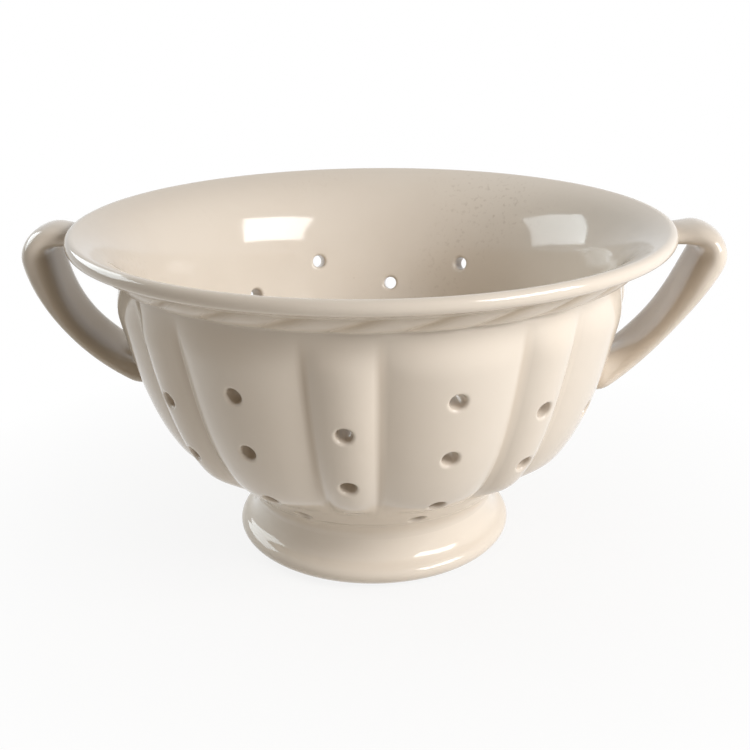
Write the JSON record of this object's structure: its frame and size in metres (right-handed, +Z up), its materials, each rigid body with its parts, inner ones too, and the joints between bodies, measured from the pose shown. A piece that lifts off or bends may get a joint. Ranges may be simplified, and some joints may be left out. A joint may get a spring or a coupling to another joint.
{
  "type": "ceramic colander",
  "caption": "Glazed ceramic colander: a lobed, pierced bowl with a flared lip and a rope band, on a hollow ring foot, with a strap handle on either side.",
  "frame": {"origin": "on the table, under the middle of the foot", "axes": "+X towards the right handle, +Y towards the back, +Z up along the bowl's axis"},
  "size_m": [0.313, 0.2636, 0.1517],
  "materials": {
    "bowl_glaze": "glossy warm ivory glaze",
    "rope_glaze": "glossy warm ivory glaze",
    "foot_glaze": "glossy warm ivory glaze",
    "handle_glaze": "glossy warm ivory glaze",
    "slip_glaze": "slip bed under the same glossy glaze"
  },
  "bodies": {
    "root": {"bowl": "bowl_glaze", "rope_band": "rope_glaze", "foot": "foot_glaze", "foot_lute": "slip_glaze", "right_handle": "handle_glaze", "right_arm_lute": "slip_glaze", "right_limb_lute": "slip_glaze", "left_handle": "handle_glaze", "left_arm_lute": "slip_glaze", "left_limb_lute": "slip_glaze"}
  },
  "joints": []
}
